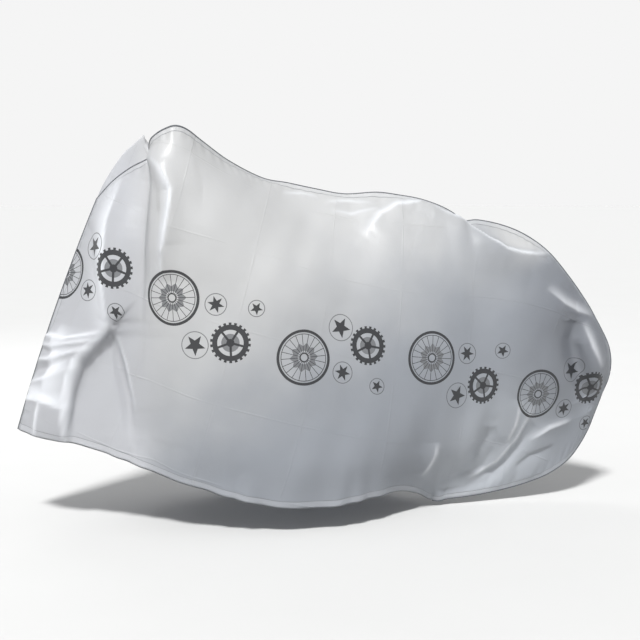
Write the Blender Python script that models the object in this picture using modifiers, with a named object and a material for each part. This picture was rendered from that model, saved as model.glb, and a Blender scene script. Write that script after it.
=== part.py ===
"""Bicycle cover of frosted plastic film, in the shape in which it hangs.

Two D-shaped side panels are bound together by a thin welt along the front edge, the top, the back and the lower back.
Their foot stays open from the front corner to the rear end of the hem. The front is towards -X, the left panel is on
the -Y side and +Z is up. The tables hold lengths from the middle of the cover and heights above the ground. CROWN is
the place under the top seam where the cover is carried, and becomes the origin.
"""
from collections import namedtuple

import bpy
import numpy as np

COLLECTION = "bicycle_cover"

CROWN = np.array([0.33, 0.0, 0.998])    # under the top seam, where the cover is carried
FILM = 0.0015                           # thickness of the film with its hem
WELT_RADIUS = 0.0025
GAP = 0.0007                            # between the welt and the bound edge of each panel, and between the edges
EDGE_INSET = WELT_RADIUS + GAP          # from the middle of the welt to the edge of a panel
EDGE_APART = 0.5 * (FILM + GAP)         # from the seam to the middle of each film, sideways

ROWS = 16                               # rows of faces from the foot to the top
TOP_CROWDING = 1.5                      # above 1 the rows at the front are closer together towards the top
COLUMN_PITCH = 0.0475                   # sections further apart than this get columns between them
FRONT_PITCH = 0.031                     # the same for the folded front strip
FRONT_END = 4                           # the section at which the front strip ends
HEM_END = 20                            # the section at which the hem ends and the lower back seam starts

# One row for each section across the cover, from the front edge to the back edge. The top is on the seam. The foot is
# on the hem as far as HEM_END and on the seam behind it. Seam_y is how far the seam is pulled to the right, bow how far
# the section curves backwards at half its height.
Section = namedtuple("Section", "top_x top_z seam_y foot_x foot_z foot_y bow")
SECTIONS = (
    Section(-0.707, 1.005, 0.000, -0.964, 0.285, 0.000, -0.012),
    Section(-0.657, 1.060, -0.020, -0.879, 0.267, 0.000, -0.008),
    Section(-0.604, 1.100, -0.040, -0.787, 0.255, 0.000, -0.004),
    Section(-0.562, 1.122, -0.060, -0.697, 0.230, 0.000, 0.000),
    Section(-0.541, 1.134, -0.080, -0.622, 0.204, 0.000, 0.000),
    Section(-0.548, 1.158, -0.130, -0.578, 0.188, 0.000, 0.000),
    Section(-0.547, 1.182, -0.180, -0.543, 0.176, 0.000, 0.000),
    Section(-0.531, 1.199, -0.205, -0.505, 0.165, 0.000, 0.000),
    Section(-0.508, 1.213, -0.220, -0.464, 0.151, 0.000, 0.000),
    Section(-0.476, 1.223, -0.230, -0.418, 0.138, 0.000, 0.000),
    Section(-0.440, 1.212, -0.220, -0.366, 0.122, 0.000, 0.000),
    Section(-0.387, 1.175, -0.180, -0.301, 0.104, 0.000, 0.000),
    Section(-0.305, 1.121, -0.120, -0.226, 0.088, 0.000, 0.000),
    Section(-0.194, 1.070, -0.050, -0.152, 0.078, 0.000, 0.000),
    Section(-0.107, 1.054, -0.020, -0.084, 0.075, 0.000, 0.000),
    Section(-0.015, 1.035, -0.010, -0.018, 0.074, 0.000, 0.000),
    Section(0.079, 1.019, 0.000, 0.054, 0.080, 0.000, 0.000),
    Section(0.187, 1.024, 0.000, 0.141, 0.085, 0.000, 0.000),
    Section(0.267, 1.014, 0.000, 0.220, 0.082, 0.000, 0.000),
    Section(0.328, 1.003, 0.000, 0.288, 0.060, 0.000, 0.000),
    Section(0.390, 0.983, 0.000, 0.359, 0.020, -0.080, 0.000),
    Section(0.439, 0.959, 0.000, 0.415, 0.021, -0.075, 0.000),
    Section(0.477, 0.931, 0.000, 0.469, 0.024, -0.070, 0.000),
    Section(0.528, 0.933, 0.000, 0.536, 0.029, -0.060, 0.000),
    Section(0.617, 0.914, 0.000, 0.615, 0.040, -0.050, 0.000),
    Section(0.697, 0.880, 0.000, 0.698, 0.057, -0.040, 0.000),
    Section(0.775, 0.824, 0.000, 0.779, 0.083, -0.030, 0.002),
    Section(0.850, 0.738, 0.000, 0.852, 0.129, -0.020, 0.006),
    Section(0.912, 0.653, 0.000, 0.911, 0.205, -0.010, 0.010),
    Section(0.949, 0.591, 0.000, 0.949, 0.284, 0.000, 0.017),
    Section(0.972, 0.550, 0.000, 0.975, 0.352, 0.000, 0.028),
)
LAST = len(SECTIONS) - 1

# How far each panel stands out from the middle of the cover, at the heights in WIDTH_HEIGHTS between foot and seam.
Widths = namedtuple("Widths", "section hem low middle high shoulder")
WIDTH_HEIGHTS = (0.0, 0.25, 0.5, 0.75, 0.9)
LEFT_WIDTHS = (
    Widths(0, 0.000, 0.000, 0.000, 0.000, 0.000),
    Widths(1, 0.070, 0.070, 0.070, 0.060, 0.045),
    Widths(2, 0.120, 0.125, 0.130, 0.120, 0.085),
    Widths(4, 0.190, 0.190, 0.200, 0.190, 0.145),
    Widths(6, 0.230, 0.230, 0.240, 0.240, 0.215),
    Widths(9, 0.290, 0.300, 0.300, 0.290, 0.270),
    Widths(12, 0.330, 0.340, 0.340, 0.310, 0.230),
    Widths(14, 0.340, 0.340, 0.320, 0.260, 0.130),
    Widths(16, 0.310, 0.320, 0.280, 0.200, 0.090),
    Widths(18, 0.220, 0.270, 0.240, 0.165, 0.075),
    Widths(20, 0.080, 0.210, 0.210, 0.150, 0.070),
    Widths(22, 0.070, 0.175, 0.180, 0.130, 0.055),
    Widths(24, 0.050, 0.130, 0.150, 0.110, 0.050),
    Widths(26, 0.030, 0.080, 0.115, 0.085, 0.040),
    Widths(28, 0.010, 0.050, 0.075, 0.055, 0.030),
    Widths(30, 0.000, 0.000, 0.000, 0.000, 0.000),
)
RIGHT_WIDTHS = (
    Widths(0, 0.000, 0.000, 0.000, 0.000, 0.000),
    Widths(1, 0.070, 0.070, 0.070, 0.070, 0.060),
    Widths(2, 0.120, 0.130, 0.130, 0.130, 0.130),
    Widths(4, 0.180, 0.190, 0.200, 0.220, 0.220),
    Widths(6, 0.220, 0.240, 0.250, 0.270, 0.255),
    Widths(9, 0.270, 0.280, 0.290, 0.290, 0.250),
    Widths(12, 0.300, 0.310, 0.300, 0.260, 0.190),
    Widths(14, 0.310, 0.310, 0.280, 0.210, 0.110),
    Widths(16, 0.280, 0.290, 0.250, 0.170, 0.080),
    Widths(18, 0.190, 0.240, 0.220, 0.150, 0.070),
    Widths(20, -0.080, 0.130, 0.170, 0.130, 0.065),
    Widths(22, -0.070, 0.090, 0.140, 0.110, 0.050),
    Widths(24, -0.050, 0.070, 0.110, 0.090, 0.045),
    Widths(26, -0.030, 0.050, 0.085, 0.070, 0.035),
    Widths(28, -0.010, 0.030, 0.055, 0.045, 0.025),
    Widths(30, 0.000, 0.000, 0.000, 0.000, 0.000),
)

# The right panel rises to a second peak beside the seam. Between the two the film sags and runs backwards.
Peak = namedtuple("Peak", "section rise sag back")
PEAK = (
    Peak(0, 0.000, 0.000, 0.000),
    Peak(1, 0.085, 0.000, 0.000),
    Peak(2, 0.145, 0.000, 0.005),
    Peak(3, 0.174, 0.005, 0.016),
    Peak(4, 0.193, 0.010, 0.030),
    Peak(5, 0.173, 0.028, 0.036),
    Peak(6, 0.145, 0.045, 0.040),
    Peak(7, 0.105, 0.050, 0.034),
    Peak(9, 0.055, 0.055, 0.020),
    Peak(12, 0.045, 0.040, 0.000),
    Peak(14, 0.010, 0.005, 0.000),
    Peak(16, 0.000, 0.000, 0.000),
    Peak(LAST, 0.000, 0.000, 0.000),
)
PEAK_AT, PEAK_REACH = 0.87, 0.10        # as shares of the height of a section
SAG_AT, SAG_REACH = 0.955, 0.045

# Each fold runs through its points, given as length and height. It stands out from the panel, or goes in where out is
# below zero, and falls away over the width on its left and the width on its right, as seen when walking along it.
Fold = namedtuple("Fold", "out width_left width_right points")
LEFT_FOLDS = {
    "lower edge of the front strip": Fold(
        0.038, 0.090, 0.032, ((-0.822, 0.27), (-0.808, 0.40), (-0.772, 0.52), (-0.720, 0.58), (-0.680, 0.62))),
    "upper edge of the front strip": Fold(
        0.026, 0.034, 0.120, ((-0.672, 0.64), (-0.670, 0.76), (-0.678, 0.90), (-0.662, 0.99))),
    "trough behind the front strip": Fold(
        -0.036, 0.032, 0.050, ((-0.796, 0.26), (-0.772, 0.42), (-0.735, 0.51), (-0.675, 0.59))),
    "trough from the pinch to the hem": Fold(
        -0.026, 0.030, 0.045, ((-0.613, 0.28), (-0.625, 0.41), (-0.645, 0.50), (-0.668, 0.60))),
    "pleat under the notch": Fold(
        0.020, 0.028, 0.030, ((-0.511, 0.88), (-0.514, 1.04), (-0.536, 1.11))),
    "fold falling forward from the crown": Fold(
        0.018, 0.030, 0.060, ((0.143, 0.913), (0.190, 0.955), (0.240, 0.977), (0.325, 0.993))),
    "fold falling back from the crown": Fold(
        0.020, 0.030, 0.070, ((0.325, 0.993), (0.400, 0.951), (0.460, 0.921), (0.534, 0.874), (0.600, 0.836),
                              (0.660, 0.826), (0.764, 0.819))),
    "trough at the back": Fold(
        -0.032, 0.055, 0.034, ((0.905, 0.34), (0.865, 0.45), (0.842, 0.52), (0.852, 0.60))),
    "long gather at the rear end of the hem": Fold(
        -0.040, 0.060, 0.040, ((0.420, 0.03), (0.533, 0.085), (0.594, 0.155), (0.697, 0.268))),
    "short gather at the rear end of the hem": Fold(
        -0.034, 0.045, 0.036, ((0.345, 0.07), (0.450, 0.115), (0.513, 0.138), (0.542, 0.204), (0.538, 0.270))),
    "sweep above the hem": Fold(
        -0.020, 0.070, 0.050, ((-0.270, 0.20), (-0.050, 0.17), (0.150, 0.22), (0.330, 0.15))),
}
RIGHT_FOLDS = {
    "edge of the front strip": Fold(
        0.032, 0.080, 0.032, ((-0.812, 0.27), (-0.790, 0.45), (-0.740, 0.58), (-0.690, 0.72))),
    "trough behind the front strip": Fold(
        -0.030, 0.032, 0.050, ((-0.780, 0.26), (-0.745, 0.44), (-0.690, 0.57))),
    "trough from the pinch to the hem": Fold(
        -0.024, 0.032, 0.050, ((-0.560, 0.22), (-0.590, 0.40), (-0.650, 0.58))),
    "ridge under the second peak": Fold(
        0.016, 0.040, 0.050, ((-0.500, 0.62), (-0.510, 0.85), (-0.545, 1.02))),
    "fold from the crown": Fold(
        0.018, 0.030, 0.060, ((0.120, 0.900), (0.230, 0.965), (0.330, 0.985), (0.430, 0.930), (0.560, 0.855),
                              (0.700, 0.815))),
    "trough at the back": Fold(
        -0.022, 0.050, 0.034, ((0.880, 0.36), (0.835, 0.46), (0.825, 0.58))),
    "long gather at the rear end of the hem": Fold(
        -0.030, 0.055, 0.040, ((0.440, 0.06), (0.560, 0.13), (0.690, 0.27))),
    "short gather at the rear end of the hem": Fold(
        -0.024, 0.045, 0.036, ((0.360, 0.08), (0.470, 0.19), (0.520, 0.33))),
    "sweep above the hem": Fold(
        -0.018, 0.060, 0.050, ((-0.330, 0.24), (-0.080, 0.18), (0.180, 0.21))),
}
FOLD_END_SHARE = 0.4                    # of its depth, which a fold keeps at its two ends
FRONT_FADE, BACK_FADE = 1.5, 2.0        # the folds fade in over this many sections from each end
EDGE_FADE = 0.06                        # and over this share of the height from the seam

FILM_COLOUR = (0.62, 0.63, 0.65, 1.0)
WELT_COLOUR = (0.12, 0.125, 0.13, 1.0)


def smooth(knots, values, at):
    """Curve through the rows of a table: a cubic between each two, its slopes taken from the rows on both sides."""
    knots, values = np.asarray(knots, float), np.asarray(values, float)
    slopes = np.gradient(values, knots, axis=0)
    at = np.clip(at, knots[0], knots[-1])
    i = np.clip(np.searchsorted(knots, at, side="right") - 1, 0, len(knots) - 2)
    step = knots[i + 1] - knots[i]
    t = (at - knots[i]) / step
    if values.ndim > 1:
        step, t = step[..., None], t[..., None]
    return ((1 + 2 * t) * (1 - t) ** 2 * values[i] + t * (1 - t) ** 2 * step * slopes[i]
            + t * t * (3 - 2 * t) * values[i + 1] + t * t * (t - 1) * step * slopes[i + 1])


def read_table(table, q):
    """The columns of a table whose rows start with the number of a section, each as a curve at the numbers q."""
    rows = np.array(table)
    return np.moveaxis(smooth(rows[:, 0], rows, q), -1, 0)


def bump(at, centre, reach):
    """1 at the centre, falling along a cosine to 0 at the reach on both sides."""
    t = np.clip(np.abs(at - centre) / reach, 0.0, 1.0)
    return 0.5 + 0.5 * np.cos(np.pi * t)


def section_numbers():
    """A column on each section, with more between two sections whose tops or feet are far apart in length."""
    numbers = [0.0]
    for i, (this, following) in enumerate(zip(SECTIONS[:-1], SECTIONS[1:])):
        apart = max(following.top_x - this.top_x, following.foot_x - this.foot_x)
        pitch = FRONT_PITCH if i < FRONT_END else COLUMN_PITCH
        parts = int(np.ceil(apart / pitch))
        numbers += [i + part / parts for part in range(1, parts + 1)]
    return np.array(numbers)


def height_shares(q):
    """Rows from 0 at the foot to 1 at the seam, closer together towards the top, but even at the back edge."""
    crowding = 1.0 + (TOP_CROWDING - 1.0) * (1.0 - q / LAST)
    return 1.0 - np.linspace(1.0, 0.0, ROWS + 1)[:, None] ** crowding


def fold_relief(x, z, fold):
    """Rounded ridge or trough along a polyline, with its own width on each side, shallower towards its ends."""
    points = np.array(fold.points)
    nearest = np.full(x.shape, np.inf)
    side = np.zeros(x.shape)
    share = np.zeros(x.shape)
    lengths = np.hypot(*np.diff(points, axis=0).T)
    starts = np.concatenate([[0.0], np.cumsum(lengths)])
    for start, end, length, run in zip(points[:-1], points[1:], lengths, starts):
        along = (end - start) / length
        dx, dz = x - start[0], z - start[1]
        t = np.clip(dx * along[0] + dz * along[1], 0.0, length)
        distance = np.hypot(dx - t * along[0], dz - t * along[1])
        closer = distance < nearest
        nearest = np.where(closer, distance, nearest)
        side = np.where(closer, along[0] * dz - along[1] * dx, side)
        share = np.where(closer, (run + t) / starts[-1], share)
    width = np.where(side > 0, fold.width_left, fold.width_right)
    fullness = np.sqrt(np.clip(4.0 * share * (1.0 - share), 0.0, 1.0))
    return fold.out * (FOLD_END_SHARE + (1 - FOLD_END_SHARE) * fullness) * np.exp(-(nearest / width) ** 2)


def fold_fade(q, v):
    """1 over most of a panel, falling to 0 at both ends and at the seam, where the panels are held together."""
    from_seam = np.where(q > HEM_END, np.minimum(v, 1 - v), 1 - v)
    return np.clip(q / FRONT_FADE, 0, 1) * np.clip((LAST - q) / BACK_FADE, 0, 1) * np.clip(from_seam / EDGE_FADE, 0, 1)


def panel_grid(widths, folds, out_sign, peaks):
    """Points of one panel, in rows from the foot to the seam and columns from the front edge to the back edge.

    A point lies at a share of the way from the foot to the top of its section, and stands out sideways by the table of
    widths and by the folds, which fade out near the seam.
    """
    numbers = section_numbers()
    q = np.broadcast_to(numbers, (ROWS + 1, len(numbers)))
    v = height_shares(q)
    at = Section(*np.moveaxis(smooth(np.arange(LAST + 1), SECTIONS, q), -1, 0))
    x = at.foot_x + (at.top_x - at.foot_x) * v + 4 * v * (1 - v) * at.bow
    z = at.foot_z + (at.top_z - at.foot_z) * v

    width = Widths(*read_table(widths, q))
    hem = np.where(q > HEM_END, out_sign * at.foot_y, width.hem)
    levels = np.stack([hem, width.low, width.middle, width.high, width.shoulder, out_sign * at.seam_y], axis=-1)
    out = np.empty(q.shape)
    for column in range(len(numbers)):
        out[:, column] = smooth(WIDTH_HEIGHTS + (1.0,), levels[0, column], v[:, column])
    for fold in folds.values():
        out = out + fold_fade(q, v) * fold_relief(x, z, fold)
    between_seams = at.foot_y + (at.seam_y - at.foot_y) * v
    out = np.maximum(out, out_sign * between_seams + EDGE_APART)

    if peaks:
        peak = Peak(*read_table(PEAK, q))
        z = z + peak.rise * bump(v, PEAK_AT, PEAK_REACH) - peak.sag * bump(v, SAG_AT, SAG_REACH)
        x = x + peak.back * bump(v, SAG_AT, SAG_REACH)
    return np.stack([x, out_sign * out, z], axis=-1) - CROWN


def seam_path(grid):
    """Indices of the seam's points: up the front edge, along the top, down the back edge, forward to the hem's end."""
    rows, columns = grid.shape[:2]
    hem_end = int(np.argmin(np.abs(section_numbers() - HEM_END)))
    path = [(row, 0) for row in range(rows)]
    path += [(rows - 1, column) for column in range(1, columns)]
    path += [(row, columns - 1) for row in range(rows - 2, -1, -1)]
    path += [(0, column) for column in range(columns - 2, hem_end - 1, -1)]
    return path


def unit(vectors):
    return vectors / np.linalg.norm(vectors, axis=-1, keepdims=True)


def clear_of_welt(grid, out_sign):
    """Draws the panel's bound edge back from the middle of the welt, square to the seam, and a little sideways.

    Where the seam turns, the edge is drawn back further, as at a mitre, so that it keeps its distance on both sides.
    """
    path = seam_path(grid)
    seam = np.array([grid[i] for i in path])
    steps = unit(np.diff(seam, axis=0))
    before, after = np.vstack([steps[:1], steps]), np.vstack([steps, steps[-1:]])
    along = unit(before + after)
    mitre = np.sum(before * along, axis=1)

    rows, columns = grid.shape[:2]
    inner = np.array([grid[min(max(row, 1), rows - 2), min(max(column, 1), columns - 2)] for row, column in path])
    inner = unit(inner - seam)
    inner[1:-1] = inner[:-2] + 2 * inner[1:-1] + inner[2:]
    inner = unit(inner - along * np.sum(inner * along, axis=1, keepdims=True))

    sideways = np.tile([0.0, out_sign * EDGE_APART, 0.0], (len(seam), 1))
    for direction in (along, inner):
        sideways -= direction * np.sum(sideways * direction, axis=1, keepdims=True)
    clear = grid.copy()
    for i, place in zip(path, seam + inner * EDGE_INSET / mitre[:, None] + sideways):
        clear[i] = place
    return clear


def material(name, colour, roughness):
    made = bpy.data.materials.new(name)
    made.use_nodes = True
    shader = made.node_tree.nodes["Principled BSDF"]
    shader.inputs["Base Color"].default_value = colour
    shader.inputs["Roughness"].default_value = roughness
    shader.inputs["Metallic"].default_value = 0.0
    return made


def add_panel(collection, name, grid, out_sign, finish):
    """Open surface of the panel, its faces turned outwards, given the thickness of the film."""
    rows, columns = grid.shape[:2]
    index = np.arange(rows * columns).reshape(rows, columns)
    a, b, c, d = index[:-1, :-1], index[:-1, 1:], index[1:, 1:], index[1:, :-1]
    corners = (a, b, c, d) if out_sign < 0 else (a, d, c, b)
    faces = np.stack([corner.ravel() for corner in corners], axis=-1)
    mesh = bpy.data.meshes.new(name)
    mesh.from_pydata(grid.reshape(-1, 3).tolist(), [], faces.tolist())
    mesh.shade_smooth()
    panel = bpy.data.objects.new(name, mesh)
    panel.data.materials.append(finish)
    collection.objects.link(panel)
    wall = panel.modifiers.new("film", "SOLIDIFY")
    wall.thickness = FILM
    wall.offset = 0.0


def add_welt(collection, name, points, finish):
    """Round welt along the seam, open where the hem starts and ends."""
    curve = bpy.data.curves.new(name, "CURVE")
    curve.dimensions = "3D"
    curve.bevel_depth = WELT_RADIUS
    curve.bevel_resolution = 2
    curve.use_fill_caps = True
    spline = curve.splines.new("POLY")
    spline.points.add(len(points) - 1)
    for point, place in zip(spline.points, points):
        point.co = (*place, 1.0)
    welt = bpy.data.objects.new(name, curve)
    welt.data.materials.append(finish)
    collection.objects.link(welt)


def main():
    for old in list(bpy.data.objects):
        bpy.data.objects.remove(old)
    collection = bpy.data.collections.new(COLLECTION)
    bpy.context.scene.collection.children.link(collection)

    film = material("frosted_film", FILM_COLOUR, 0.35)
    welt = material("welt_binding", WELT_COLOUR, 0.5)
    left = panel_grid(LEFT_WIDTHS, LEFT_FOLDS, -1, peaks=False)
    right = panel_grid(RIGHT_WIDTHS, RIGHT_FOLDS, 1, peaks=True)
    seam = [left[i] for i in seam_path(left)]
    add_panel(collection, "panel_left", clear_of_welt(left, -1), -1, film)
    add_panel(collection, "panel_right", clear_of_welt(right, 1), 1, film)
    add_welt(collection, "seam_welt", seam, welt)


if __name__ == "__main__":
    main()
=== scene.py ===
"""Looks of a bicycle cover of frosted plastic film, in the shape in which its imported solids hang.

Two side panels of film are bound together by a welt along the front edge, the top, the back and the lower
back. Each panel is one surface of two parameters: a section number, counted from the front edge to the back
edge, and a share of the way from the foot to the top. The tables hold lengths from the middle of the cover
and heights above the ground.
"""
from collections import namedtuple
from functools import partial
from math import cos, pi, radians, sin, tau

import bpy
import numpy as np
from bpy.props import FloatProperty, FloatVectorProperty, IntProperty, PointerProperty
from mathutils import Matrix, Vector


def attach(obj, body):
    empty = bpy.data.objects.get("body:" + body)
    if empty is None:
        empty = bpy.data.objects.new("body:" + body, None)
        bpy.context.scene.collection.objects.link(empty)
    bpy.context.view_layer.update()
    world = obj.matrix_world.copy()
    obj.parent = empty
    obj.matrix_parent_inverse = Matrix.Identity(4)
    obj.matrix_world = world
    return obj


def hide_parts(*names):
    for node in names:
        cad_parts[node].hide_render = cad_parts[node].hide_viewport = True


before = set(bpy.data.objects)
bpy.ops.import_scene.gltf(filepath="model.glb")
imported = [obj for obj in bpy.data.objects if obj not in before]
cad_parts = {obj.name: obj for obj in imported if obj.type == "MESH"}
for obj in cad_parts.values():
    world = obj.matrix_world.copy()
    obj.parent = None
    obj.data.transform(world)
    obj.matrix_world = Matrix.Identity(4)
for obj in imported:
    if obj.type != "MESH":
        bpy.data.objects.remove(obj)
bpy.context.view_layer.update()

bl_info = {
    "name": "Frosted bicycle cover",
    "version": (1, 0, 0),
    "blender": (4, 5, 0),
    "location": "View3D > Sidebar > Cover",
    "description": "Builds a draped bicycle cover of frosted film with a printed band and a bound seam",
    "category": "Object",
}

BODY = "root"
CROWN = np.array([0.33, 0.0, 0.998])    # the model's origin, in the lengths and heights of the tables
GROUND = -CROWN[2]
HEM_END = 20                            # the section at which the hem ends and the lower back seam starts
EDGE_APART = 0.0011                     # from the seam to the middle of each film, sideways

# One row for each section across the cover, from the front edge to the back edge, as in the part's source.
# Seam_y is how far the seam is pulled sideways, below zero to the left, and bow how far the section curves
# backwards half way up.
Section = namedtuple("Section", "top_x top_z seam_y foot_x foot_z foot_y bow")
SECTIONS = (
    Section(-0.707, 1.005, 0.000, -0.964, 0.285, 0.000, -0.012),
    Section(-0.657, 1.060, -0.020, -0.879, 0.267, 0.000, -0.008),
    Section(-0.604, 1.100, -0.040, -0.787, 0.255, 0.000, -0.004),
    Section(-0.562, 1.122, -0.060, -0.697, 0.230, 0.000, 0.000),
    Section(-0.541, 1.134, -0.080, -0.622, 0.204, 0.000, 0.000),
    Section(-0.548, 1.158, -0.130, -0.578, 0.188, 0.000, 0.000),
    Section(-0.547, 1.182, -0.180, -0.543, 0.176, 0.000, 0.000),
    Section(-0.531, 1.199, -0.205, -0.505, 0.165, 0.000, 0.000),
    Section(-0.508, 1.213, -0.220, -0.464, 0.151, 0.000, 0.000),
    Section(-0.476, 1.223, -0.230, -0.418, 0.138, 0.000, 0.000),
    Section(-0.440, 1.212, -0.220, -0.366, 0.122, 0.000, 0.000),
    Section(-0.387, 1.175, -0.180, -0.301, 0.104, 0.000, 0.000),
    Section(-0.305, 1.121, -0.120, -0.226, 0.088, 0.000, 0.000),
    Section(-0.194, 1.070, -0.050, -0.152, 0.078, 0.000, 0.000),
    Section(-0.107, 1.054, -0.020, -0.084, 0.075, 0.000, 0.000),
    Section(-0.015, 1.035, -0.010, -0.018, 0.074, 0.000, 0.000),
    Section(0.079, 1.019, 0.000, 0.054, 0.080, 0.000, 0.000),
    Section(0.187, 1.024, 0.000, 0.141, 0.085, 0.000, 0.000),
    Section(0.267, 1.014, 0.000, 0.220, 0.082, 0.000, 0.000),
    Section(0.328, 1.003, 0.000, 0.288, 0.060, 0.000, 0.000),
    Section(0.390, 0.983, 0.000, 0.359, 0.020, -0.080, 0.000),
    Section(0.439, 0.959, 0.000, 0.415, 0.021, -0.075, 0.000),
    Section(0.477, 0.931, 0.000, 0.469, 0.024, -0.070, 0.000),
    Section(0.528, 0.933, 0.000, 0.536, 0.029, -0.060, 0.000),
    Section(0.617, 0.914, 0.000, 0.615, 0.040, -0.050, 0.000),
    Section(0.697, 0.880, 0.000, 0.698, 0.057, -0.040, 0.000),
    Section(0.775, 0.824, 0.000, 0.779, 0.083, -0.030, 0.002),
    Section(0.850, 0.738, 0.000, 0.852, 0.129, -0.020, 0.006),
    Section(0.912, 0.653, 0.000, 0.911, 0.205, -0.010, 0.010),
    Section(0.949, 0.591, 0.000, 0.949, 0.284, 0.000, 0.017),
    Section(0.972, 0.550, 0.000, 0.975, 0.352, 0.000, 0.028),
)
LAST = len(SECTIONS) - 1

# How far each panel stands out from the middle of the cover, at the heights in WIDTH_HEIGHTS. The last of
# these is the seam, which the sections place.
Widths = namedtuple("Widths", "section hem low middle high shoulder")
WIDTH_HEIGHTS = (0.0, 0.25, 0.5, 0.75, 0.9, 1.0)
LEFT_WIDTHS = (
    Widths(0, 0.000, 0.000, 0.000, 0.000, 0.000),
    Widths(1, 0.070, 0.070, 0.070, 0.060, 0.045),
    Widths(2, 0.120, 0.125, 0.130, 0.120, 0.085),
    Widths(4, 0.190, 0.190, 0.200, 0.190, 0.145),
    Widths(6, 0.230, 0.230, 0.240, 0.248, 0.232),
    Widths(9, 0.290, 0.300, 0.300, 0.286, 0.256),
    Widths(12, 0.330, 0.340, 0.340, 0.310, 0.230),
    Widths(14, 0.340, 0.340, 0.320, 0.260, 0.130),
    Widths(16, 0.305, 0.312, 0.280, 0.200, 0.090),
    Widths(18, 0.204, 0.254, 0.240, 0.165, 0.075),
    Widths(20, 0.080, 0.200, 0.210, 0.150, 0.070),
    Widths(22, 0.070, 0.162, 0.180, 0.136, 0.080),
    Widths(23, 0.060, 0.138, 0.165, 0.124, 0.070),
    Widths(24, 0.050, 0.115, 0.150, 0.110, 0.050),
    Widths(26, 0.030, 0.068, 0.115, 0.085, 0.040),
    Widths(28, 0.010, 0.040, 0.075, 0.055, 0.030),
    Widths(30, 0.000, 0.000, 0.000, 0.000, 0.000),
)
RIGHT_WIDTHS = (
    Widths(0, 0.000, 0.000, 0.000, 0.000, 0.000),
    Widths(1, 0.070, 0.070, 0.070, 0.070, 0.060),
    Widths(2, 0.120, 0.130, 0.130, 0.130, 0.130),
    Widths(4, 0.180, 0.190, 0.200, 0.220, 0.220),
    Widths(6, 0.220, 0.240, 0.250, 0.270, 0.255),
    Widths(9, 0.270, 0.280, 0.290, 0.290, 0.250),
    Widths(12, 0.300, 0.310, 0.300, 0.260, 0.190),
    Widths(14, 0.310, 0.310, 0.280, 0.210, 0.110),
    Widths(16, 0.280, 0.290, 0.250, 0.170, 0.080),
    Widths(18, 0.190, 0.240, 0.220, 0.150, 0.070),
    Widths(20, -0.080, 0.130, 0.170, 0.130, 0.065),
    Widths(22, -0.070, 0.090, 0.140, 0.110, 0.050),
    Widths(24, -0.050, 0.070, 0.110, 0.090, 0.045),
    Widths(26, -0.030, 0.050, 0.085, 0.070, 0.035),
    Widths(28, -0.010, 0.030, 0.055, 0.045, 0.025),
    Widths(30, 0.000, 0.000, 0.000, 0.000, 0.000),
)

# The right panel rises to a second peak beside the seam. Between the two the film sags and runs backwards.
Peak = namedtuple("Peak", "section rise sag back")
PEAK = (
    Peak(0, 0.000, 0.000, 0.000),
    Peak(1, 0.085, 0.000, 0.000),
    Peak(2, 0.145, 0.000, 0.005),
    Peak(3, 0.174, 0.005, 0.016),
    Peak(4, 0.193, 0.010, 0.030),
    Peak(5, 0.173, 0.028, 0.036),
    Peak(6, 0.145, 0.045, 0.040),
    Peak(7, 0.105, 0.050, 0.034),
    Peak(9, 0.055, 0.055, 0.020),
    Peak(12, 0.045, 0.040, 0.000),
    Peak(14, 0.010, 0.005, 0.000),
    Peak(16, 0.000, 0.000, 0.000),
    Peak(LAST, 0.000, 0.000, 0.000),
)
PEAK_AT, PEAK_REACH = 0.87, 0.10        # as shares of the height of a section
SAG_AT, SAG_REACH = 0.955, 0.045        # likewise

# Each fold runs through its points, given as length and height. It stands out from the panel, or goes in
# where out is below zero, and falls away over one width on its left and another on its right, as seen when
# walking along it.
Fold = namedtuple("Fold", "out width_left width_right points")
LEFT_FOLDS = {
    "lower edge of the front strip": Fold(0.022, 0.090, 0.022, (
        (-0.822, 0.27), (-0.808, 0.40), (-0.772, 0.52), (-0.720, 0.58), (-0.680, 0.62))),
    "upper edge of the front strip": Fold(0.020, 0.050, 0.120, (
        (-0.672, 0.64), (-0.670, 0.76), (-0.678, 0.90), (-0.662, 0.99))),
    "trough behind the front strip": Fold(-0.006, 0.022, 0.070, (
        (-0.796, 0.26), (-0.772, 0.42), (-0.735, 0.51), (-0.675, 0.59))),
    "trough from the pinch to the hem": Fold(-0.014, 0.020, 0.060, (
        (-0.613, 0.28), (-0.625, 0.41), (-0.645, 0.50), (-0.668, 0.60))),
    "pleat under the notch": Fold(0.010, 0.022, 0.090, ((-0.511, 0.88), (-0.514, 1.04), (-0.536, 1.11))),
    "fold falling forward from the crown": Fold(0.012, 0.026, 0.070, (
        (0.143, 0.913), (0.190, 0.955), (0.240, 0.977), (0.325, 0.993))),
    "fold falling back from the crown": Fold(0.020, 0.020, 0.070, (
        (0.325, 0.993), (0.400, 0.951), (0.460, 0.921), (0.534, 0.874), (0.600, 0.836), (0.660, 0.826),
        (0.764, 0.819))),
    "trough at the back": Fold(-0.027, 0.055, 0.034, (
        (0.905, 0.34), (0.865, 0.45), (0.842, 0.52), (0.852, 0.60))),
    "long gather at the rear end of the hem": Fold(-0.016, 0.055, 0.040, (
        (0.420, 0.03), (0.533, 0.085), (0.594, 0.155), (0.697, 0.268))),
    "short gather at the rear end of the hem": Fold(-0.014, 0.044, 0.036, (
        (0.345, 0.07), (0.450, 0.115), (0.513, 0.138), (0.542, 0.204), (0.538, 0.270))),
    "sweep above the hem": Fold(0.010, 0.120, 0.070, (
        (-0.420, 0.26), (-0.150, 0.215), (0.120, 0.215), (0.330, 0.20))),
}
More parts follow.
